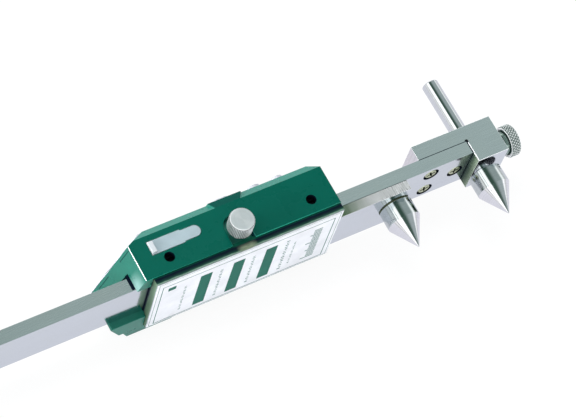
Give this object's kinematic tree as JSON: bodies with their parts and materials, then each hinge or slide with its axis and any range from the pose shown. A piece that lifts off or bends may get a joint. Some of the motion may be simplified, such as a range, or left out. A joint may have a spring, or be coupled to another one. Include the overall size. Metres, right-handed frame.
{
  "type": "centerline caliper",
  "caption": "Digital caliper with cone points on a height-adjustable fixed rod and on a sliding display head, for measuring the distance between hole centres.",
  "frame": {"origin": "on the fixed point's axis, where its cylindrical body ends and its cone begins", "axes": "+X along the beam from the fixed point to the beam's tail; +Y the way both cone points point, away from the display; +Z towards the edge with the lock screw"},
  "size_m": [0.3056, 0.046, 0.0372],
  "materials": {
    "beam_steel": "ground",
    "plate_steel": "ground",
    "point_steel": "turned and polished",
    "knurled_steel": "knurled and plated",
    "screw_steel": "plated",
    "dark_steel": "blackened",
    "cell_steel": "bright",
    "bronze": "plain",
    "green_housing": "satin paint",
    "green_cover": "satin moulded",
    "pale_plastic": "smooth",
    "grey_plastic": "satin",
    "black_plastic": "moulded",
    "grey_rubber": "soft",
    "board_green": "lacquered",
    "label_white": "printed film",
    "scale_film": "printed film",
    "clear_window": "clear",
    "display_grey": "polarised film"
  },
  "bodies": {
    "beam": {"main_beam": "beam_steel", "scale_strip": "scale_film", "end_stop": "beam_steel", "end_stop_screws": "screw_steel", "jaw_block": "beam_steel", "jaw_screws": "screw_steel"},
    "point_rod": {"fixed_point": "point_steel"},
    "clamp": {"clamp_screw": "knurled_steel"},
    "slider": {"slider_plate": "plate_steel", "slider_point": "point_steel", "rear_label": "label_white", "plate_screws": "screw_steel", "housing": "green_housing", "front_cover": "green_cover", "cover_screws": "screw_steel", "display_window": "clear_window", "display_glass": "display_grey", "display_frame": "black_plastic", "rubber_connectors": "grey_rubber", "circuit_board": "board_green", "circuit_chips": "black_plastic", "button_switches": "screw_steel", "coin_cell": "cell_steel", "battery_contacts": "bronze", "gib_strip": "bronze", "gib_screws": "dark_steel", "port_socket": "black_plastic", "port_contacts": "bronze"},
    "button_one": {"first_button": "pale_plastic"},
    "button_two": {"second_button": "pale_plastic"},
    "button_long": {"long_button": "pale_plastic"},
    "lid": {"battery_lid": "pale_plastic"},
    "lock": {"lock_screw": "knurled_steel"},
    "port_flap": {"port_cover": "grey_plastic"}
  },
  "joints": [
    {"name": "slider_slide", "type": "slide", "parent": "beam", "child": "slider", "axis": [1, 0, 0], "range_m": [-0.0192, 0.1705]},
    {"name": "point_height", "type": "slide", "parent": "beam", "child": "point_rod", "axis": [0, 1, 0], "range_m": [-0.0011, 0.017]},
    {"name": "clamp_turn", "type": "hinge", "parent": "beam", "child": "clamp", "pos_m": [-0.0103, -0.01195, 0], "axis": [-1, 0, 0], "range_deg": [-270, 0]},
    {"name": "lock_turn", "type": "hinge", "parent": "slider", "child": "lock", "pos_m": [0.07935, -0.01251, 0.015], "axis": [0, 0, 1], "range_deg": [-270, 0]},
    {"name": "button_one_press", "type": "slide", "parent": "slider", "child": "button_one", "axis": [0, 1, 0], "range_m": [0, 0.0005], "stiffness_N_per_m": 600},
    {"name": "button_two_press", "type": "slide", "parent": "slider", "child": "button_two", "axis": [0, 1, 0], "range_m": [0, 0.0005], "stiffness_N_per_m": 600},
    {"name": "button_long_press", "type": "slide", "parent": "slider", "child": "button_long", "axis": [0, 1, 0], "range_m": [0, 0.0005], "stiffness_N_per_m": 600},
    {"name": "lid_slide", "type": "slide", "parent": "slider", "child": "lid", "axis": [1, 0, 0], "range_m": [0, 0.022]},
    {"name": "flap_lift", "type": "hinge", "parent": "slider", "child": "port_flap", "pos_m": [0.0887, -0.01713, 0.0133], "axis": [0, -1, 0], "range_deg": [0, 75]}
  ]
}
